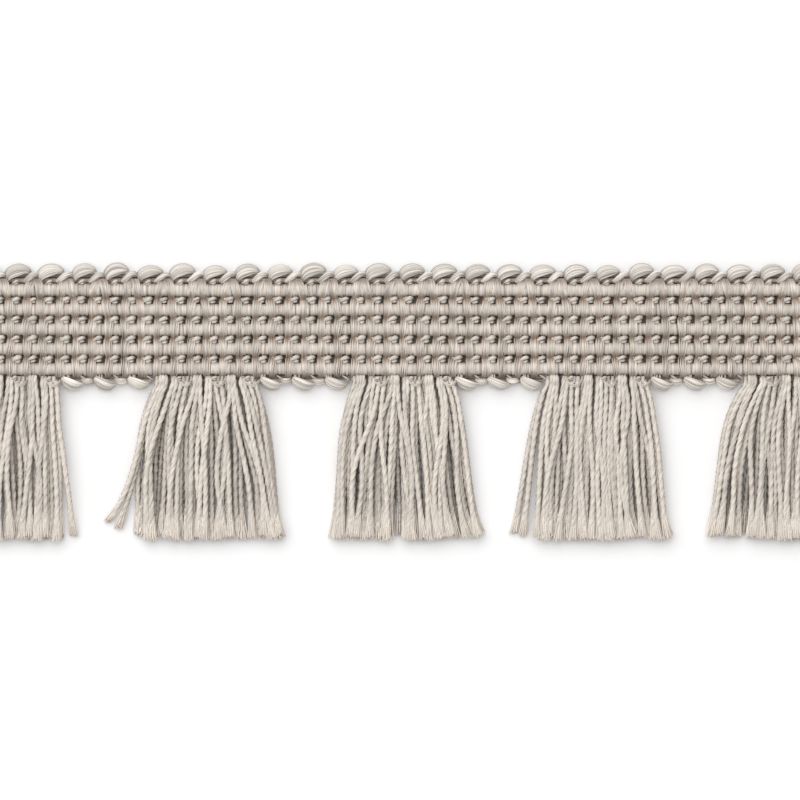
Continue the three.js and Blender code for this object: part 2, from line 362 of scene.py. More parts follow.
def laid_yarn(tree):
    """Lays yarn along the given paths."""
    resample = tree.put("GeometryNodeResampleCurve", mode="LENGTH")
    tree.feed(resample.inputs["Curve"], tree.given("Paths"))
    tree.feed(resample.inputs["Length"], tree.given("Station spacing"))
    along = tree.put("GeometryNodeSplineParameter").outputs["Length"]
    curves = keep(tree, resample.outputs[0], "FLOAT", "along", along)
    curves = keep(tree, curves, "FLOAT", "tone", per_spline(tree, random_field(tree, 0.0, 1.0, tree.given("Seed"))))
    turns = tree.math("MULTIPLY", kept(tree, "FLOAT", "along"), tree.given("Turns per metre"))
    first = tree.math("MULTIPLY", kept(tree, "FLOAT", "tone"), tree.given("Random turn"))
    tilted = tree.put("GeometryNodeSetCurveTilt")
    tree.feed(tilted.inputs["Curve"], curves)
    tree.feed(tilted.inputs["Tilt"], tree.math("MULTIPLY", tree.math("ADD", turns, first), TAU))
    names = ("Yarn radius", "Facets", "Plies", "Ply groove", "Flatness")
    return sweep(tree, tilted.outputs[0], *[tree.given(name) for name in names])


def open_brush(tree):
    """Opens the cut end of each path into a soft brush of fibres."""
    trim = tree.nodes.new("GeometryNodeTrimCurve")
    trim.mode = "FACTOR"
    tree.feed(trim.inputs["Curve"], tree.given("Paths"))
    start, end = [s for s in trim.inputs if s.enabled and s.name in ("Start", "End")]
    tree.feed(start, tree.given("Brush start"))
    tree.feed(end, 1.0)
    resample = tree.put("GeometryNodeResampleCurve", mode="COUNT")
    tree.feed(resample.inputs["Curve"], trim.outputs[0])
    tree.feed(resample.inputs["Count"], 4)
    copies = tree.put("GeometryNodeDuplicateElements", domain="SPLINE")
    tree.feed(copies.inputs["Geometry"], resample.outputs[0])
    tree.feed(copies.inputs["Amount"], tree.given("Filaments"))
    number = copies.outputs["Duplicate Index"]
    parameter = tree.put("GeometryNodeSplineParameter")
    out = parameter.outputs["Factor"]
    curves = keep(tree, copies.outputs["Geometry"], "FLOAT", "along", parameter.outputs["Length"])
    curves = keep(tree, curves, "FLOAT", "tone", per_spline(tree, random_field(tree, 0.0, 1.0, tree.given("Seed"))))
    # Marks the opened fibres, which the finish paints lighter and gives less painted shade.
    curves = keep(tree, curves, "FLOAT", "open", 1.0)
    share = tree.math("DIVIDE", tree.math("ADD", number, 0.5), tree.given("Filaments"))
    away = tree.math("POWER", share, 0.5)
    turn = tree.math("MULTIPLY", number, 2.39996)
    opening = tree.math("MULTIPLY", tree.math("POWER", out, 1.3), tree.given("Brush spread"))
    reach = tree.math("MULTIPLY", tree.math("MULTIPLY_ADD", tree.given("Yarn radius"), 0.62, opening), away)
    uneven = tree.math("MULTIPLY", tree.math("SUBTRACT", kept(tree, "FLOAT", "tone"), 0.5), out)
    offset = tree.joined_xyz(
        tree.math("MULTIPLY", tree.math("COSINE", turn), reach),
        tree.math("MULTIPLY", uneven, 0.0006),
        tree.math("MULTIPLY", tree.math("MULTIPLY", tree.math("SINE", turn), reach), 0.65),
    )
    moved = tree.put("GeometryNodeSetPosition")
    tree.feed(moved.inputs["Geometry"], curves)
    tree.feed(moved.inputs["Offset"], offset)
    lowest = tree.joined_xyz(-1.0, -1.0, tree.given("Filament radius"))
    rested = tree.put("GeometryNodeSetPosition")
    tree.feed(rested.inputs["Geometry"], moved.outputs[0])
    tree.feed(rested.inputs["Position"], tree.vector("MAXIMUM", tree.put("GeometryNodeInputPosition").outputs[0], lowest))
    taper = tree.put("GeometryNodeSetCurveRadius")
    tree.feed(taper.inputs["Curve"], rested.outputs[0])
    tree.feed(taper.inputs["Radius"], tree.math("MULTIPLY_ADD", out, -0.25, 1.3))
    return sweep(tree, taper.outputs[0], tree.given("Filament radius"), 3, 1, 0.0, 1.0)


def yarn_tree(name, brushed):
    tree = Tree(name)
    tree.socket("Paths", "NodeSocketGeometry")
    inputs = YARN_INPUTS + (BRUSH_INPUTS if brushed else [])
    ids = {label: tree.socket(label, kind, default=value) for label, kind, value in inputs}
    tree.socket("Yarn", "NodeSocketGeometry", out=True)
    yarn = laid_yarn(tree)
    if brushed:
        both = tree.nodes.new("GeometryNodeJoinGeometry")
        tree.group.links.new(yarn, both.inputs[0])
        tree.group.links.new(open_brush(tree), both.inputs[0])
        yarn = both.outputs[0]
    return finish_tree(tree, yarn), ids


def made_of_yarn(name, paths, kind, **values):
    """Lays yarn along the paths with a node tree, and returns the plain mesh object."""
    group, ids = TREES[kind]
    maker = paths_object(name + "_paths", paths)
    modifier = maker.modifiers.new("Yarn", "NODES")
    modifier.node_group = group
    for key, value in values.items():
        modifier[ids[key.replace("_", " ")]] = value
    depsgraph = bpy.context.evaluated_depsgraph_get()
    mesh = bpy.data.meshes.new_from_object(maker.evaluated_get(depsgraph), depsgraph=depsgraph)
    curve = maker.data
    bpy.data.objects.remove(maker)
    bpy.data.curves.remove(curve)
    mesh.name = name
    mesh.materials.clear()
    mesh.materials.append(values["Material"])
    mesh.polygons.foreach_set("material_index", [0] * len(mesh.polygons))
    piece = bpy.data.objects.new(name, mesh)
    bpy.context.scene.collection.objects.link(piece)
    return piece


def joined(name, pieces):
    """One object out of several."""
    with bpy.context.temp_override(
        active_object=pieces[0], object=pieces[0], selected_objects=pieces, selected_editable_objects=pieces
    ):
        bpy.ops.object.join()
    pieces[0].name = name
    pieces[0].data.name = name
    return pieces[0]


def set_out(piece, slot, *nodes):
    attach(piece, "root")
    if nodes:
        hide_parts(*nodes)


# Finishes


def fibre_group(painted_shade_tint):
    """Fine fibres that run along a yarn, with painted shade (browner and darker where the yarn lies low or faces
    sideways) and painted light on opened fibres: a colour, a roughness and a normal.
    """
    tree = Tree("Spun fibre", "ShaderNodeTree")
    tree.socket("Colour", "NodeSocketColor", default=(0.5, 0.45, 0.4, 1))
    tree.socket("Tone spread", "NodeSocketFloat", default=0.12)
    tree.socket("Fibre scale", "NodeSocketFloat", default=9000.0)
    tree.socket("Fibre length", "NodeSocketFloat", default=500.0)
    tree.socket("Fibre height", "NodeSocketFloat", default=0.00003)
    tree.socket("Depth tint", "NodeSocketColor", default=(*painted_shade_tint, 1))
    tree.socket("Depth top", "NodeSocketFloat", default=0.0016)
    tree.socket("Depth range", "NodeSocketFloat", default=0.0012)
    tree.socket("Flank tint", "NodeSocketFloat", default=0.0)
    tree.socket("Streak", "NodeSocketFloat", default=0.9)
    tree.socket("Open gain", "NodeSocketFloat", default=0.2)
    tree.socket("Colour", "NodeSocketColor", out=True)
    tree.socket("Roughness", "NodeSocketFloat", out=True)
    tree.socket("Normal", "NodeSocketVector", out=True)
    fibre = tree.put("ShaderNodeAttribute", attribute_type="GEOMETRY", attribute_name="fibre").outputs["Vector"]
    tone = tree.put("ShaderNodeAttribute", attribute_type="GEOMETRY", attribute_name="tone").outputs["Fac"]
    scale = tree.joined_xyz(tree.given("Fibre scale"), tree.given("Fibre scale"), tree.given("Fibre length"))
    apart = tree.joined_xyz(0.0, 0.0, tree.math("MULTIPLY", tone, 37.0))
    place = tree.vector("ADD", tree.vector("MULTIPLY", fibre, scale), apart)
    streak = tree.put("ShaderNodeTexNoise", Vector=place, Scale=1.0, Detail=3.0, Roughness=0.65).outputs["Fac"]
    tone_shift = tree.math("MULTIPLY", tree.math("SUBTRACT", tone, 0.5), tree.given("Tone spread"))
    streak_shift = tree.math("MULTIPLY", tree.math("SUBTRACT", streak, 0.5), tree.given("Streak"))
    # Painted light: the opened fibres of a brush are made lighter.
    opened = tree.put("ShaderNodeAttribute", attribute_type="GEOMETRY", attribute_name="open").outputs["Fac"]
    open_painted_light = tree.math("MULTIPLY_ADD", opened, tree.given("Open gain"), 1.0)
    brightness = tree.math("ADD", tree.math("ADD", tone_shift, streak_shift), open_painted_light)
    point = tree.put("ShaderNodeTexCoord").outputs["Object"]
    height = tree.put("ShaderNodeSeparateXYZ", point).outputs["Z"]
    # Painted shade: yarn below the painted shade top turns browner and darker, fully so one painted shade range lower.
    depth = tree.math("DIVIDE", tree.math("SUBTRACT", tree.given("Depth top"), height), tree.given("Depth range"))
    facing = tree.put("ShaderNodeSeparateXYZ", tree.put("ShaderNodeNewGeometry").outputs["Normal"]).outputs["Z"]
    face_up = tree.clamped(tree.math("MULTIPLY_ADD", facing, 1.6, 1.0))
    # Painted shade on steep flanks: faces turned sideways turn browner, as if out of the light, except on opened
    # fibres.
    sideways = tree.clamped(tree.math("MULTIPLY_ADD", facing, -1.8, 1.0))
    plied = tree.math("SUBTRACT", 1.0, opened)
    painted_flank_strength = tree.math("MULTIPLY", tree.given("Flank tint"), plied)
    flank_painted_shade = tree.math("MULTIPLY", tree.math("MULTIPLY", sideways, painted_flank_strength), face_up)
    # Opened fibres take only a fifth of this painted shade, and faces turned downwards take less.
    painted_deep_shade = tree.math("MULTIPLY", tree.clamped(depth), tree.math("MULTIPLY_ADD", opened, -0.8, 1.0))
    deep = tree.math("MAXIMUM", tree.math("MULTIPLY", painted_deep_shade, face_up), flank_painted_shade)
    tint = tree.put("ShaderNodeMix", data_type="RGBA", blend_type="MIX")
    live = [s for s in tint.inputs if s.enabled]
    tree.feed(live[0], deep)
    tree.feed(live[1], (1, 1, 1, 1))
    tree.feed(live[2], tree.given("Depth tint"))
    tinted = tree.vector("MULTIPLY", tree.given("Colour"), next(s for s in tint.outputs if s.enabled))
    bump = tree.put("ShaderNodeBump", Strength=1.0)
    tree.feed(bump.inputs["Distance"], tree.given("Fibre height"))
    tree.feed(bump.inputs["Height"], streak)
    tree.feed(tree.end.inputs["Colour"], tree.vector("SCALE", tinted, brightness))
    tree.feed(tree.end.inputs["Roughness"], tree.math("MULTIPLY_ADD", streak, 0.3, 0.40))
    tree.feed(tree.end.inputs["Normal"], bump.outputs[0])
    return tree.group


def yarn_material(name, group, colour, **inputs):
    material = bpy.data.materials.new(name)
    material.use_nodes = True
    nodes, links = material.node_tree.nodes, material.node_tree.links
    shader = nodes["Principled BSDF"]
    fibre = nodes.new("ShaderNodeGroup")
    fibre.node_tree = group
    fibre.inputs["Colour"].default_value = (*colour, 1)
    for key, value in inputs.items():
        fibre.inputs[key.replace("_", " ")].default_value = value
    links.new(fibre.outputs["Colour"], shader.inputs["Base Color"])
    links.new(fibre.outputs["Roughness"], shader.inputs["Roughness"])
    links.new(fibre.outputs["Normal"], shader.inputs["Normal"])
    shader.inputs["Specular IOR Level"].default_value = 0.4
    shader.inputs["Sheen Weight"].default_value = 0.25
    shader.inputs["Sheen Roughness"].default_value = 0.5
    return material


MATERIALS = {}
TREES = {}


def prepare():
    """Builds the finishes and the two ways of laying yarn, once."""
    colours = settings("trim_colours")
    group = fibre_group(colours.depth)
    # Every finish below paints shade into its colour: browner and darker below its painted shade top, and on steep
    # flanks where it has a painted flank shade.
    MATERIALS["rib"] = yarn_material(
        "wrapped_weft",
        group,
        colours.heading,
        Tone_spread=0.28,
        Fibre_scale=3600,
        Fibre_length=300,
        Streak=1.1,
        Depth_top=2.53 * MM,
        Depth_range=0.84 * MM,
    )
    MATERIALS["crossing"] = yarn_material(
        "crossing_weft",
        group,
        colours.heading,
        Tone_spread=0.28,
        Fibre_scale=3600,
        Fibre_length=300,
        Streak=1.1,
        Depth_top=2.53 * MM,
        Depth_range=0.88 * MM,
    )
    MATERIALS["scallop"] = yarn_material(
        "turned_weft",
        group,
        colours.scallop,
        Tone_spread=0.65,
        Fibre_scale=5000,
        Fibre_length=300,
        Streak=1.6,
        Depth_top=1.5 * MM,
        Depth_range=1.0 * MM,
        Flank_tint=0.5,
    )
    # Painted light: the lower scallops take a lighter copy of the scallop colour, lifting the shade they lie in.
    MATERIALS["lower_scallop"] = yarn_material(
        "lower_turned_weft",
        group,
        [1.12 * value for value in colours.scallop],
        Tone_spread=0.65,
        Fibre_scale=5000,
        Fibre_length=300,
        Streak=1.6,
        Depth_top=1.15 * MM,
        Depth_range=0.9 * MM,
        Flank_tint=0.4,
    )
    MATERIALS["binder"] = yarn_material(
        "binder_thread",
        group,
        colours.bell,
        Tone_spread=0.2,
        Fibre_scale=3600,
        Depth_top=1.4 * MM,
        Depth_range=0.7 * MM,
        Flank_tint=0.3,
    )
    # Painted shade and light: the lower layers blend toward the darker under colour, and their brushes are painted
    # lighter.
    for layer in range(len(BELL_LAYERS)):
        rise = layer / TOP_LAYER
        colour = [lerp(low, high, rise**0.7) for low, high in zip(colours.under, colours.bell)]
        MATERIALS[f"bell_{layer}"] = yarn_material(
            f"plied_yarn_{layer + 1}",
            group,
            colour,
            Tone_spread=0.2,
            Fibre_scale=4400,
            Fibre_length=350,
            Streak=1.45,
            Depth_top=1.1 * MM,
            Depth_range=1.0 * MM,
            Flank_tint=0.9,
            Open_gain=lerp(0.85, 0.3, rise),
        )
    TREES["plain"] = yarn_tree("Lay yarn", False)
    TREES["brushed"] = yarn_tree("Lay yarn with a brushed end", True)


# The heading

CORE_Z = 1.55  # height of a rib cord's middle, in millimetres
YARNS_PER_CELL = 8
BAR_YARNS = (-1, 0, 1, 2)
BAR_OFFSET = 0.1
KNOT_PLACE = 0.55  # of a cell


def cell_pitch():
    return settings("trim_heading").turn_pitch / MM / 2


def cells():
    """The numbers of the weft's passes. Pass j runs at j pitches, and a knot lies half a pitch after it."""
    pitch = cell_pitch()
    return range(math.ceil(TRIM_LEFT / pitch), math.floor(TRIM_RIGHT / pitch) + 1)


def weft_places(numbers):
    """Where fine weft yarns lie along the heading: each number in each cell, counted from the pass's middle."""
    pitch = cell_pitch()
    step = pitch / YARNS_PER_CELL
    for cell in [min(cells()) - 1, *cells()]:
        for n in numbers:
            x = cell * pitch + BAR_OFFSET + n * step
            if TRIM_LEFT + step / 2 < x < TRIM_RIGHT - step / 2:
                yield cell, n, x


def rib_middle(number, x):
    heading = settings("trim_heading")
    return ((RIBS + 1) / 2 - number) * heading.rib_pitch / MM + 0.05 * math.sin(TAU * x / 47 + number)


def wrap_path(number, cell, n, x):
    """One weft yarn around the face of a rib."""
    heading = settings("trim_heading")
    half, rise = heading.rib_half_width / MM, heading.rib_rise / MM
    middle = rib_middle(number, x)
    seed = cell * 7 + n + number * 977
    swell = 1 + 0.045 * scatter(seed)
    lean = 0.05 * scatter(seed, 1)
    slack = 0.2 if scatter(seed, 4) > 0.78 else 0.0
    points = []
    for i in range(11):
        turn = math.radians(lerp(-38, 218, i / 10))
        across, up = math.cos(turn), math.sin(turn)
        full = swell * (abs(across) ** 2.3 + abs(up) ** 2.3) ** (-1 / 2.3)
        y = middle + half * full * across + 0.08 * scatter(seed, 5) * max(0.0, -across)
        aside = lerp(bar_aside(cell, y), bar_aside(cell + 1, y), n / YARNS_PER_CELL)
        along = x + aside + lean * across + 0.02 * scatter(seed, 2)
        wide = 1.25 if number == 1 and cell % 2 == 0 else 1.0
        points.append((along, y, CORE_Z - slack + rise * full * up, wide))
    return points


# Height of a bar by its distance from the nearest rib's middle, minus towards the bells, in millimetres.
BAR_PROFILE = [
    (-1.45, 1.72),
    (-1.36, 1.5),
    (-1.25, 1.48),
    (-1.1, 1.6),
    (-0.85, 1.86),
    (-0.6, 2.12),
    (-0.35, 2.38),
    (-0.1, 2.54),
    (0.12, 2.58),
    (0.35, 2.56),
    (0.6, 2.42),
    (0.85, 2.2),
    (1.1, 1.98),
    (1.3, 1.85),
    (1.45, 1.72),
    (1.9, 1.95),
]
BAR_TOP, BAR_FOOT = 7.42, -7.02


def bar_aside(cell, y):
    """Passes draw together in pairs between two upper scallops."""
    apex, top, groove = (1.0, 0.55, 0.08) if cell % 2 else (-1.25, -0.8, -0.34)
    pitch = settings("trim_heading").rib_pitch / MM
    return float(np.interp(y / pitch, [0.5, 1.5, 2.4, 2.65], [0.0, groove, top, apex]))


def bar_path(cell, n, x):
    """One weft yarn that runs over every rib and down through every groove."""
    pitch = settings("trim_heading").rib_pitch / MM
    away, high = zip(*BAR_PROFILE)
    seed = cell * 5 + n
    middle = x - n * cell_pitch() / YARNS_PER_CELL
    points = []
    for i in range(100):
        y = lerp(BAR_TOP, BAR_FOOT, i / 99)
        number = min(max(round((RIBS + 1) / 2 - y / pitch), 1), RIBS)
        from_rib = y - rib_middle(number, x)
        z = float(np.interp(from_rib, away, high))
        pinch = 1 - 0.3 * math.exp(-(((from_rib + 1.15) / 0.4) ** 2))
        wave = 0.09 * math.sin(TAU * y / 5.3 + cell * 1.7) + 0.05 * math.sin(TAU * y / 3.1 + seed)
        own = 0.06 * scatter(seed, round(y / pitch))
        points.append((middle + (x - middle) * pinch + bar_aside(cell, y) + wave, y, z + own, 1.0))
    return points


def core_path(number):
    ends = np.linspace(TRIM_LEFT + 0.1, TRIM_RIGHT - 0.1, 60)
    return [(x, rib_middle(number, x), CORE_Z - 0.05, 1.0) for x in ends]


class TRIM_OT_ribs(bpy.types.Operator):
    """Wrap the five rib cords in fine weft yarn"""

    bl_idname = "trim.ribs"
    bl_label = "Wrapped ribs"

    def execute(self, context):
        heading = context.scene.trim_heading
        for number in range(1, RIBS + 1):
            seen = range(1, YARNS_PER_CELL) if number == 1 else range(2, YARNS_PER_CELL - 1)
            drawn_in = (1, 2, 6, 7) if number == 1 else ()
            places = [place for place in weft_places(seen) if not (place[0] % 2 and place[1] in drawn_in)]
            wraps = made_of_yarn(
                f"wraps_{number}",
                [wrap_path(number, *place) for place in places],
                "plain",
                Yarn_radius=heading.weft_radius,
                Facets=6,
                Plies=1,
                Ply_groove=0.0,
                Flatness=heading.weft_flatness,
                Station_spacing=0.5 * MM,
                Seed=number,
                Material=MATERIALS["rib"],
            )
            core = made_of_yarn(
                f"core_{number}",
                [core_path(number)],
                "plain",
                Yarn_radius=0.78 * MM,
                Facets=12,
                Plies=3,
                Ply_groove=0.15,
                Turns_per_metre=110,
                Station_spacing=0.8 * MM,
                Seed=number,
                Material=MATERIALS["rib"],
            )
            set_out(joined(f"wrapped_rib_{number}", [wraps, core]), "rib_cord", f"rib_cord_{number}")
        return {"FINISHED"}


class TRIM_OT_bars(bpy.types.Operator):
    """Lay the weft that runs over the ribs and through the grooves"""

    bl_idname = "trim.bars"
    bl_label = "Weft bars"

    def execute(self, context):
        heading = context.scene.trim_heading
        bars = made_of_yarn(
            "weft_bars",
            [bar_path(*place) for place in weft_places(BAR_YARNS)],
            "plain",
            Yarn_radius=heading.weft_radius,
            Facets=5,
            Plies=1,
            Ply_groove=0.0,
            Flatness=heading.weft_flatness,
            Station_spacing=0.36 * MM,
            Seed=11,
            Material=MATERIALS["crossing"],
        )
        set_out(bars, "rib_cord")
        return {"FINISHED"}


# The two strands of a binder knot by their distance past its middle, place across, height and thickness.
KNOT_COURSES = [
    [
        (-1.1, -0.36, 1.25, 0.45),
        (-0.8, -0.24, 1.65, 0.56),
        (-0.55, -0.04, 1.86, 0.74),
        (-0.28, 0.13, 1.94, 1.0),
        (-0.02, 0.23, 1.86, 1.08),
        (0.16, 0.27, 1.5, 0.92),
        (0.24, 0.29, 0.9, 0.55),
    ],
    [
        (-0.85, -0.46, 1.1, 0.4),
        (-0.58, -0.43, 1.52, 0.58),
        (-0.3, -0.38, 1.72, 0.76),
        (-0.04, -0.32, 1.76, 0.84),
        (0.14, -0.28, 1.42, 0.7),
        (0.22, -0.26, 0.9, 0.45),
    ],
]
# The thread that passes behind a knot.
FILLER_COURSE = [
    (-1.15, 0.05, 1.2, 1.2),
    (-0.7, 0.05, 1.35, 1.45),
    (-0.2, 0.08, 1.3, 1.4),
    (0.14, 0.2, 1.2, 1.1),
    (0.42, 0.34, 1.15, 0.8),
]
# Short strands that come out under the lowest rib: between two bars, and beside a scallop.
STAND_COURSE = [(0.0, -6.45, 1.55, 0.3), (0.0, -6.75, 1.85, 0.36), (0.02, -7.05, 1.8, 0.36), (0.04, -7.4, 1.45, 0.3)]
SLANT_COURSE = [(-0.55, -6.6, 1.4, 0.34), (-0.2, -6.85, 1.75, 0.42), (0.2, -7.1, 1.7, 0.42), (0.6, -7.4, 1.3, 0.34)]
# The loose loop of binder thread below a knot at a bell's foot, from the middle of the tuft beside it.
LOOP_COURSE = [
    (2.0, -7.5, 1.7, 0.3),
    (2.32, -7.8, 2.15, 0.34),
    (2.75, -8.05, 2.35, 0.36),
    (3.17, -8.2, 2.4, 0.36),
    (3.6, -8.0, 2.35, 0.34),
    (4.08, -7.5, 1.75, 0.3),
]
BELL_FOOT = (-7.6, 8.3)  # where a bell's foot begins and ends along the edge, from the bell's middle
FOOT_ROW = -7.12
TOP_ROW = 7.0


def course_path(course, x, y, seed, size=1.0, lift=0.0):
    own = scatter(seed)
    rows = []
    for along, aside, z, thick in course:
        grow = size * (1 + 0.14 * scatter(seed, 1))
        rows.append((x + along * size + 0.13 * own, y + aside * size + 0.07 * scatter(seed, 2), z + lift, thick * grow))
    path = smooth_path(rows, len(rows) * 2)
    return path[(path[:, 0] > TRIM_LEFT + 0.2) & (path[:, 0] < TRIM_RIGHT - 0.2)]


def knot_paths(x, y, seed, size=1.0, lift=0.0):
    return [course_path(course, x, y, seed, size, lift) for course in KNOT_COURSES]


def binder_paths():
    pitch = settings("trim_heading").rib_pitch / MM
    feet = [bell_middle(bell) for bell in range(BELLS)]
    paths = []
    for cell in cells():
        x = (cell + KNOT_PLACE) * cell_pitch()
        for row in range(RIBS - 1):
            y = (1.5 - row) * pitch
            small = 0.82 if cell % 2 else 0.94
            size = small if row == 0 else 1.06 + 0.1 * scatter(cell, row)
            paths += knot_paths(x, y, cell * 9 + row, size, 0.2 if row == 0 else 0.1)
            paths.append(course_path(FILLER_COURSE, x, y, cell * 9 + row))
        if not any(foot + BELL_FOOT[0] < x < foot + BELL_FOOT[1] for foot in feet):
            if cell % 2:
                for aside in (-0.32, 0.0, 0.3):
                    paths.append(course_path(STAND_COURSE, x + aside, 0.0, cell * 9 + aside))
            else:
                paths.append(course_path(SLANT_COURSE, x, 0.0, cell * 9 + 7))
        if cell % 2 == 0:
            paths += knot_paths(x - 0.1, TOP_ROW, cell * 9 + 8, 0.7, 0.45)
    for foot in feet:
        for place in TUFTS:
            seed = foot * 3 + place
            paths += knot_paths(foot + place + 2.5, FOOT_ROW - 0.1, seed, 0.62, 0.3)
            for strand in (0.0, 1.0):
                loop = [(x + 0.04 * strand, y - 0.22 * strand, z - 0.05 * strand, r) for x, y, z, r in LOOP_COURSE]
                paths.append(course_path(loop, foot + place, 0.0, seed + 0.5))
    return [path for path in paths if len(path) > 2]


class TRIM_OT_binders(bpy.types.Operator):
    """Run the binder threads along the grooves and both edges"""

    bl_idname = "trim.binders"
    bl_label = "Binder threads"

    def execute(self, context):
        binders = made_of_yarn(
            "binder_threads",
            binder_paths(),
            "plain",
            Yarn_radius=context.scene.trim_heading.knot_radius,
            Facets=6,
            Plies=2,
            Ply_groove=0.1,
            Turns_per_metre=400,
            Random_turn=1.0,
            Station_spacing=0.27 * MM,
            Seed=5,
            Material=MATERIALS["binder"],
        )
        set_out(binders, "rib_cord")
        return {"FINISHED"}


class TRIM_OT_ground(bpy.types.Operator):
    """Weave the ground that carries the ribs"""

    bl_idname = "trim.ground"
    bl_label = "Woven ground"

    def execute(self, context):
        low, high = GROUND_LOW / MM, GROUND_HIGH / MM
        yarn = cell_pitch() / YARNS_PER_CELL
        across = np.arange(low.x, high.x, yarn / 2)
        up = np.linspace(low.y, high.y, 11)
        grid_x, grid_y = np.meshgrid(across, up, indexing="ij")
        lines = 0.5 + 0.5 * np.cos(TAU * (grid_x - low.x) / yarn)
        rows = np.cos(math.pi * grid_y / (settings("trim_heading").rib_pitch / MM)) ** 2
        back = 0.08 * (1 - lines) + 0.1 * (1 - rows) ** 4
        face = 0.66 + 0.1 * lines
        points = [np.stack([grid_x, grid_y, height], axis=-1).reshape(-1, 3) for height in (back, face)]
        co = np.concatenate(points) * MM
        wide, tall = grid_x.shape
        number = np.arange(wide * tall).reshape(wide, tall)
        quads = np.stack([number[:-1, :-1], number[1:, :-1], number[1:, 1:], number[:-1, 1:]], axis=-1).reshape(-1, 4)
        rim = np.concatenate([number[:, 0], number[-1, 1:], number[-2::-1, -1], number[0, -2:0:-1]])
        after = np.roll(rim, -1)
        walls = np.stack([rim, after, after + wide * tall, rim + wide * tall], axis=-1)
        faces = np.concatenate([quads[:, ::-1], quads + wide * tall, walls])
        mesh = bpy.data.meshes.new("woven_ground")
        mesh.from_pydata(co.tolist(), [], faces.tolist())
        mesh.polygons.foreach_set("use_smooth", [True] * len(mesh.polygons))
        fibre = mesh.attributes.new("fibre", "FLOAT_VECTOR", "POINT")
        fibre.data.foreach_set("vector", co[:, [0, 2, 1]].astype(np.float32).ravel())
        tone = mesh.attributes.new("tone", "FLOAT", "POINT")
        yarns = np.floor((co[:, 0] / MM - low.x) / yarn + 0.5)
        tone.data.foreach_set("value", (0.5 + 0.5 * np.sin(yarns * 12.9898)).astype(np.float32))
        # The ground lies low, so the rib finish paints it in full painted shade.
        mesh.materials.append(MATERIALS["rib"])
        piece = bpy.data.objects.new("woven_ground", mesh)
        context.scene.collection.objects.link(piece)
        set_out(piece, "heading_cloth", "heading_ground")
        return {"FINISHED"}


# The scallops. A fan of weft yarns spreads from its first guide, at the outside, to its last.
# Rows are the place along the trim from the crown, the place across it and the height, in millimetres.
UPPER_TURN = [
    [
        (-2.15, 8.1, 0.75),
        (-2.05, 8.55, 0.8),
        (-1.65, 9.05, 0.85),
        (-1.1, 9.4, 0.9),
        (-0.5, 9.58, 0.95),
        (0.1, 9.61, 0.95),
        (0.7, 9.46, 0.95),
        (1.25, 9.14, 0.95),
        (1.6, 8.8, 0.9),
        (1.65, 8.5, 0.75),
    ],
    [
        (-1.9, 7.55, 1.3),
        (-1.7, 8.0, 1.75),
        (-1.3, 8.45, 2.1),
        (-0.8, 8.75, 2.28),
        (-0.2, 8.9, 2.35),
        (0.35, 8.95, 2.3),
        (0.85, 8.85, 2.15),
        (1.3, 8.68, 1.8),
        (1.55, 8.5, 1.3),
    ],
    [
        (-1.55, 7.1, 1.4),
        (-1.3, 7.42, 1.8),
        (-0.98, 7.65, 2.05),
        (-0.52, 7.82, 2.1),
        (-0.1, 7.98, 2.1),
        (0.35, 8.16, 2.05),
        (0.8, 8.33, 1.95),
        (1.2, 8.44, 1.7),
        (1.5, 8.46, 1.3),
    ],
]
UPPER_LINK = [
    [
        (0.45, 7.22, 1.35),
        (0.85, 7.62, 1.65),
        (1.3, 8.0, 1.9),
        (1.75, 8.32, 2.05),
        (2.2, 8.48, 2.0),
        (2.65, 8.42, 1.7),
        (2.9, 8.15, 1.2),
    ],
    [
        (0.5, 7.02, 1.45),
        (0.9, 7.34, 1.8),
        (1.35, 7.7, 2.1),
        (1.8, 8.0, 2.25),
        (2.2, 8.16, 2.2),
        (2.55, 8.1, 1.85),
        (2.8, 7.85, 1.2),
    ],
    [
        (0.75, 6.8, 1.4),
        (1.12, 7.05, 1.85),
        (1.45, 7.32, 2.1),
        (1.75, 7.58, 2.2),
        (2.02, 7.76, 2.05),
        (2.3, 7.84, 1.65),
        (2.55, 7.7, 1.15),
    ],
]
LOWER_TURN = [
    [
        (-1.62, -7.5, 1.0),
        (-1.35, -8.05, 1.0),
        (-0.85, -8.5, 1.0),
        (-0.2, -8.76, 1.0),
        (0.5, -8.82, 1.0),
        (1.12, -8.55, 0.95),
        (1.6, -8.1, 0.9),
    ],
    [
        (-1.6, -7.25, 1.5),
        (-1.1, -7.6, 1.95),
        (-0.5, -7.95, 2.2),
        (0.1, -8.22, 2.25),
        (0.7, -8.35, 2.05),
        (1.2, -8.28, 1.6),
        (1.62, -8.05, 1.1),
    ],
    [
        (-1.35, -6.95, 1.6),
        (-0.8, -7.15, 2.05),
        (-0.25, -7.35, 2.3),
        (0.3, -7.56, 2.35),
        (0.8, -7.75, 2.15),
        (1.25, -7.88, 1.7),
        (1.62, -7.94, 1.15),
    ],
]
LOWER_LINK = [
    [(1.35, -7.7, 0.9), (1.85, -7.98, 1.15), (2.35, -8.0, 1.2), (2.85, -7.9, 1.1), (3.15, -7.65, 0.85)],
    [(1.3, -7.5, 1.1), (1.8, -7.65, 1.4), (2.3, -7.7, 1.45), (2.8, -7.6, 1.3), (3.1, -7.4, 0.95)],
    [(1.25, -7.15, 1.1), (1.75, -7.3, 1.4), (2.25, -7.35, 1.45), (2.7, -7.3, 1.3), (3.0, -7.1, 0.95)],
]
UPPER_OFFSET = 0.335  # in turns
# A yarn that lies low behind the scallops, seen only in their hollows, where painted shade turns it dark brown: place
# across, height and thickness.
UPPER_STRIPS = ((7.2, 0.65, 0.42), (7.95, 0.4, 0.36))
LOWER_STRIPS = ((-7.0, 0.4, 0.35), (-7.55, 0.45, 0.38))
LOWER_TURN_NUMBERS = (2, 3, 4)


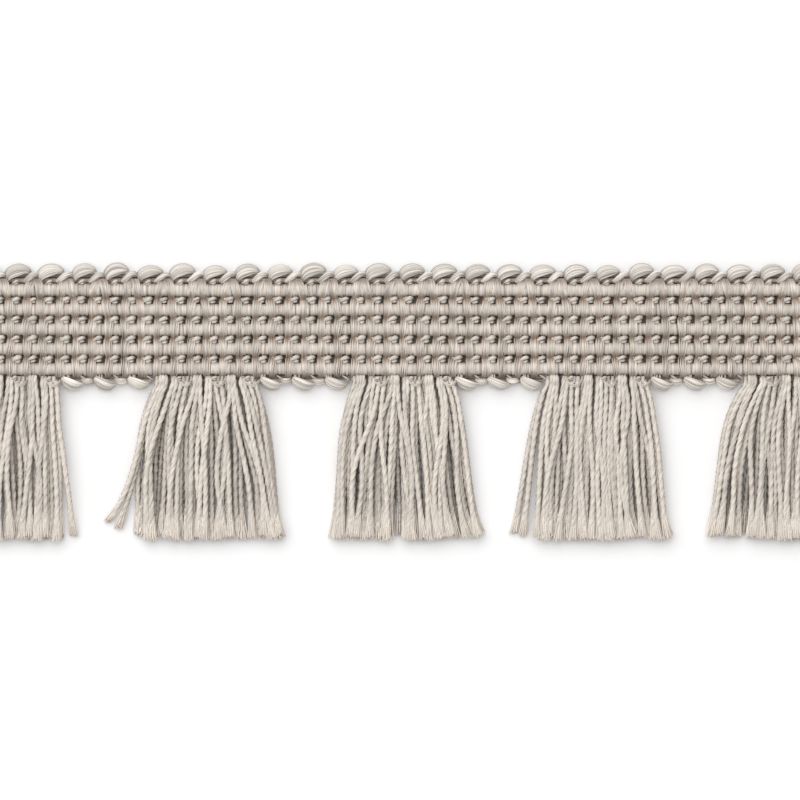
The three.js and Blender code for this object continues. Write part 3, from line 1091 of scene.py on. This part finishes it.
def fan(guides, count, thick, x, seed):
    """Nested yarns of one turn of weft at x, with its own small differences."""
    grow = 1 + 0.05 * scatter(seed)
    shift = 0.1 * scatter(seed, 1)
    reach = 1 + 0.09 * scatter(seed, 2)
    rows = [smooth_path(guide, 14) for guide in guides]
    out = []
    for k in range(count):
        s = k / (count - 1)
        place = rows[0] * (1 - s) * (1 - 2 * s) + rows[1] * 4 * s * (1 - s) + rows[2] * s * (2 * s - 1)
        path = np.ones((len(place), 4))
        path[:, 0] = x + shift + place[:, 0] * grow
        edge = math.copysign(6.9, place[0, 1])
        path[:, 1] = edge + (place[:, 1] - edge) * reach + 0.03 * scatter(seed + k, 3)
        path[:, 2] = place[:, 2] + 0.09 * scatter(seed + k, 4)
        along = np.linspace(0, 1, len(place))
        path[:, 3] = thick * (0.6 + 0.4 * np.sin(math.pi * along)) * (1 + 0.18 * scatter(seed + k, 5))
        out.append(path)
    return out


def weft_bundle(name, paths, seed, finish):
    return made_of_yarn(
        name,
        paths,
        "plain",
        Yarn_radius=1 * MM,
        Facets=5,
        Plies=1,
        Ply_groove=0.0,
        Station_spacing=0.38 * MM,
        Seed=seed,
        Material=MATERIALS[finish],
    )


class TRIM_OT_upper_scallops(bpy.types.Operator):
    """Turn the weft into the scallops of the upper edge"""

    bl_idname = "trim.upper_scallops"
    bl_label = "Upper scallops"

    def execute(self, context):
        pitch = context.scene.trim_heading.turn_pitch / MM
        ends = np.linspace(TRIM_LEFT + 0.1, TRIM_RIGHT - 0.1, 80)
        paths = [[(x, *strip) for x in ends] for strip in UPPER_STRIPS]
        for n in range(-15, 16):
            x = (n + UPPER_OFFSET) * pitch
            if TRIM_LEFT + 1.6 < x < TRIM_RIGHT - 1.0:
                paths += fan(UPPER_TURN, 16, 0.13, x, n + 40)
            if TRIM_LEFT < x < TRIM_RIGHT - 2.8:
                paths += fan(UPPER_LINK, 7, 0.15, x, n + 90)
        edge = weft_bundle("scalloped_edge_upper", paths, 21, "scallop")
        set_out(edge, "scallop_yarn", "upper_scallops")
        return {"FINISHED"}


def bell_middle(index):
    pitch = settings("trim_bells").pitch / MM
    shape = BELL_SHAPES[min(max(index, 0), BELLS - 1)]
    return (index - (BELLS - 1) / 2) * pitch + shape["shift"]


class TRIM_OT_lower_scallops(bpy.types.Operator):
    """Turn the weft into the scallops between the bells"""

    bl_idname = "trim.lower_scallops"
    bl_label = "Lower scallops"

    def execute(self, context):
        for gap in range(1, BELLS + 2):
            left, right = bell_middle(gap - 2), bell_middle(gap - 1)
            low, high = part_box(f"lower_scallops_{gap}")
            first, last = low.x / MM, high.x / MM
            ends = np.linspace(first + 0.1, last - 0.1, 12)
            paths = [[(x, *strip) for x in ends] for strip in LOWER_STRIPS]
            for turn in LOWER_TURN_NUMBERS:
                x = lerp(left, right, turn / 6)
                if first - 0.3 < x - 1.4 and x + 1.4 < last + 0.3:
                    paths += fan(LOWER_TURN, 11, 0.15, x, gap * 10 + turn + 200)
                if first - 0.3 < x - 1.4 and x + 3.0 < last + 0.9:
                    paths += fan(LOWER_LINK, 5, 0.15, x, gap * 10 + turn + 300)
            edge = weft_bundle(f"scalloped_edge_lower_{gap}", paths, 30 + gap, "lower_scallop")
            set_out(edge, "scallop_yarn", f"lower_scallops_{gap}")
        return {"FINISHED"}


# The bells

# A bell's foot has three turns. In each, three yarns gather in a tuft, and the others lie lower beside it.
# Millimetres from the bell's middle to each tuft, and from a tuft's middle to its own and the lower yarns.
TUFTS = (-6.05, -1.03, 3.98)
TUFT_YARNS = (-0.42, -0.02, 0.36)
LOCK_YARNS = (1.36, 1.85)
LOOP_YARNS = (2.6, 3.4)
SLIT_PLACE = 0.85
SLIT_ROOM = 0.52
# How a yarn of each kind comes out from under the lowest rib: place across, height and thickness.
TUFT_START = [(-6.75, 1.6, 0.6), (-7.0, 2.1, 0.72), (-7.3, 2.28, 0.8), (-7.7, 2.2, 0.84)]
LOCK_START = [(-6.9, 1.2, 0.6), (-7.3, 1.6, 0.75), (-7.7, 1.85, 0.84)]
LOOP_START = [(-7.45, 1.0, 0.7), (-7.8, 1.5, 0.84)]
HIDDEN_START = [(-6.9, None, 0.8)]


def top_roots():
    """The roots of the top layer from left to right, each with its start."""
    kinds = ((TUFT_YARNS, TUFT_START), (LOCK_YARNS, LOCK_START), (LOOP_YARNS, LOOP_START))
    return sorted(
        ((tuft + offset, start) for tuft in TUFTS for offsets, start in kinds for offset in offsets),
        key=lambda root: root[0],
    )


def clear_of_slits(x):
    for tuft in TUFTS:
        away = x - tuft - SLIT_PLACE
        if abs(away) < SLIT_ROOM:
            return tuft + SLIT_PLACE + math.copysign(SLIT_ROOM, away)
    return x


def stray_of(bell, layer, number, yarns):
    for row in STRAYS:
        place = number if row["side"] < 0 else yarns - 1 - number
        if (row["bell"], row["layer"], place) == (bell, layer, 0):
            return row
    return None


def yarn_path(bell, layer, number):
    """One yarn of a bell, with rows of x, y, z in millimetres and its radius as a share."""
    sizes = settings("trim_bells")
    shape, rows = BELL_SHAPES[bell], BELL_LAYERS[layer]
    length, span = sizes.yarn_length / MM, sizes.root_span / MM
    across = number / (rows["yarns"] - 1)
    root = (across - 0.5) * span
    if layer == TOP_LAYER:
        gathered, start = top_roots()[number]
    else:
        gathered, start = (clear_of_slits(root) if layer else root), HIDDEN_START
    flare = lerp(*shape["flare"], across)
    kick = lerp(*shape["kick"], across)
    room = min(1.0, flare / 0.4)
    seed = number + 31 * layer + 101 * bell
    shorter = rows["short"] + 0.4 * (1 + scatter(seed))
    stray = stray_of(bell, layer, number, rows["yarns"])
    if stray:
        shorter += stray["shorter"]
    edge = min(number, rows["yarns"] - 1 - number)
    loose = (0.2, 0.6, 1.0)[min(edge, 2)] * rows["loose"]
    own, own_phase, swap = 0.8 * scatter(seed, 3), 3 * scatter(seed, 4), 0.6 * scatter(seed, 6)
    crosses = edge > 1 and scatter(seed, 8) > 0.3
    if crosses:
        swap = math.copysign(1.1 + 1.0 * abs(scatter(seed, 9)), swap)
    middle = bell_middle(bell)
    points = []
    for i in range(28):
        t = i / 27
        sideways = root * (flare * (1 - math.exp(-4 * t)) + kick * t**4)
        for reach, wave, drift, phase in ((0.13, 4.3, 1.7, 0.0), (0.3, 9.7, -1.1, 1.3)):
            turn = TAU * root / wave + phase + rows["phase"] + shape["phase"] + drift * t * 2
            sideways += reach * room * t * (2 - t) * math.sin(turn)
        clump = math.sin(TAU * root / 3.2 + shape["phase"] * 3 + layer * 1.9 + 2.2 * t)
        sideways += loose * 0.3 * clump * math.sin(math.pi * min(1, 1.15 * t))
        sideways += loose * own * math.sin(math.pi * t * 1.25 + own_phase) * ease(2.5 * t)
        sideways += loose * swap * ease(1.4 * t)
        lift = (0.4 if crosses else 0.2 * scatter(seed, 5)) * math.sin(math.pi * t)
        z = lerp(rows["root_z"], rows["tip_z"], t) + lift
        if stray:
            sideways += stray["side"] * stray["reach"] * t ** stray["curve"]
            z = lerp(rows["root_z"], 0.5, t**5)
        drop = t * (length - shorter) - sideways**2 / (2 * length)
        x = middle + lerp(gathered, root, ease(t / 0.3)) + sideways
        thick = lerp(0.86, 1.0, ease(t / 0.25)) * (1 - 0.25 * max(0, (t - 0.8) / 0.2) ** 1.5)
        points.append((x, -8.06 - drop, max(z, 0.5), thick))
    begin = [(middle + gathered, y, rows["root_z"] if z is None else z, thick) for y, z, thick in start]
    return smooth_path(begin + points, 2 * len(points))


def bell_paths(bell):
    """The yarns of a bell by finish. The outermost of the lower layers show, so they match the top layer."""
    shown = [[] for _ in BELL_LAYERS]
    for layer, rows in enumerate(BELL_LAYERS):
        for number in range(rows["yarns"]):
            outermost = number in (0, rows["yarns"] - 1)
            shown[TOP_LAYER if outermost else layer].append(yarn_path(bell, layer, number))
    return shown


BELL_DETAIL = [
    {"Facets": 6, "Station_spacing": 0.6 * MM},
    {"Facets": 9, "Station_spacing": 0.45 * MM},
    {"Facets": 9, "Station_spacing": 0.32 * MM},
]


class TRIM_OT_bells(bpy.types.Operator):
    """Hang the cut yarns of the five bells"""

    bl_idname = "trim.bells"
    bl_label = "Bells"

    def execute(self, context):
        sizes = context.scene.trim_bells
        for bell in range(BELLS):
            layers = []
            for layer, paths in enumerate(bell_paths(bell)):
                yarns = made_of_yarn(
                    f"bell_{bell}_layer_{layer}",
                    paths,
                    "brushed",
                    Yarn_radius=sizes.yarn_radius,
                    Plies=3,
                    Ply_groove=0.3,
                    Turns_per_metre=1 / sizes.twist_pitch,
                    Random_turn=1.0,
                    Seed=50 + bell * 3 + layer,
                    Material=MATERIALS[f"bell_{layer}"],
                    Filaments=round(sizes.filaments * lerp(0.4, 1.0, layer / TOP_LAYER)),
                    Brush_start=0.8,
                    Brush_spread=sizes.spread,
                    Filament_radius=0.085 * MM,
                    **BELL_DETAIL[layer],
                )
                layers.append(yarns)
            set_out(joined(f"bell_of_yarn_{bell + 1}", layers), "bell_yarn", f"bell_{bell + 1}")
        return {"FINISHED"}


class TRIM_OT_stage(bpy.types.Operator):
    """Lay the trim on a pale table under a soft light, with the camera above it"""

    bl_idname = "trim.stage"
    bl_label = "Table, light and camera"

    def execute(self, context):
        stage = context.scene.trim_stage
        scene = context.scene
        mesh = bpy.data.meshes.new("table_top")
        half = 3.0
        mesh.from_pydata([(-half, -half, 0), (half, -half, 0), (half, half, 0), (-half, half, 0)], [], [(0, 1, 2, 3)])
        table = bpy.data.objects.new("table_top", mesh)
        scene.collection.objects.link(table)
        paper = bpy.data.materials.new("white_table")
        paper.use_nodes = True
        shader = paper.node_tree.nodes["Principled BSDF"]
        shader.inputs["Base Color"].default_value = (0.95, 0.95, 0.95, 1)
        shader.inputs["Roughness"].default_value = 0.9
        shader.inputs["Specular IOR Level"].default_value = 0.1
        mesh.materials.append(paper)

        world = bpy.data.worlds.new("soft_room")
        world.use_nodes = True
        world.node_tree.nodes["Background"].inputs["Color"].default_value = (1, 1, 1, 1)
        world.node_tree.nodes["Background"].inputs["Strength"].default_value = stage.room_light
        scene.world = world
        light = bpy.data.lights.new("window_light", "AREA")
        light.shape = "RECTANGLE"
        light.size, light.size_y = 1.7, 1.5
        light.energy = stage.key_power
        lamp = bpy.data.objects.new("window_light", light)
        lamp.location = (-0.35, 0.55, 1.0)
        lamp.rotation_euler = (Vector((0, -0.01, 0)) - lamp.location).to_track_quat("-Z", "Y").to_euler()
        scene.collection.objects.link(lamp)

        camera = bpy.data.cameras.new("over_table")
        camera.lens = stage.lens
        camera.sensor_width = 36
        camera.clip_start = 0.01
        eye = bpy.data.objects.new("over_table", camera)
        eye.location = (-0.0003, -0.01041, stage.view_width / 2 / math.tan(camera.angle / 2) + 1.5 * MM)
        scene.collection.objects.link(eye)
        scene.camera = eye
        scene.view_settings.view_transform = "Standard"
        return {"FINISHED"}


OPERATORS = [
    TRIM_OT_ground,
    TRIM_OT_ribs,
    TRIM_OT_bars,
    TRIM_OT_binders,
    TRIM_OT_upper_scallops,
    TRIM_OT_lower_scallops,
    TRIM_OT_bells,
    TRIM_OT_stage,
]


class TRIM_PT_panel(bpy.types.Panel):
    """Everything the trim is made of"""

    bl_idname = "TRIM_PT_panel"
    bl_label = "Bell fringe trim"
    bl_space_type = "VIEW_3D"
    bl_region_type = "UI"
    bl_category = "Trim"

    def draw(self, context):
        for operator in OPERATORS:
            self.layout.operator(operator.bl_idname)
        for name, cls in GROUPS.items():
            for prop in cls.__annotations__:
                self.layout.prop(getattr(context.scene, name), prop)


GROUPS = {
    "trim_heading": HeadingSizes,
    "trim_bells": BellSizes,
    "trim_colours": YarnColours,
    "trim_stage": StageSettings,
}


def register():
    for cls in [*GROUPS.values(), *OPERATORS, TRIM_PT_panel]:
        bpy.utils.register_class(cls)
    for name, cls in GROUPS.items():
        setattr(bpy.types.Scene, name, PointerProperty(type=cls))


def unregister():
    for name in GROUPS:
        delattr(bpy.types.Scene, name)
    for cls in reversed([*GROUPS.values(), *OPERATORS, TRIM_PT_panel]):
        bpy.utils.unregister_class(cls)


def main():
    register()
    prepare()
    for operator in OPERATORS:
        category, name = operator.bl_idname.split(".")
        getattr(getattr(bpy.ops, category), name)()


if __name__ == "__main__":
    main()
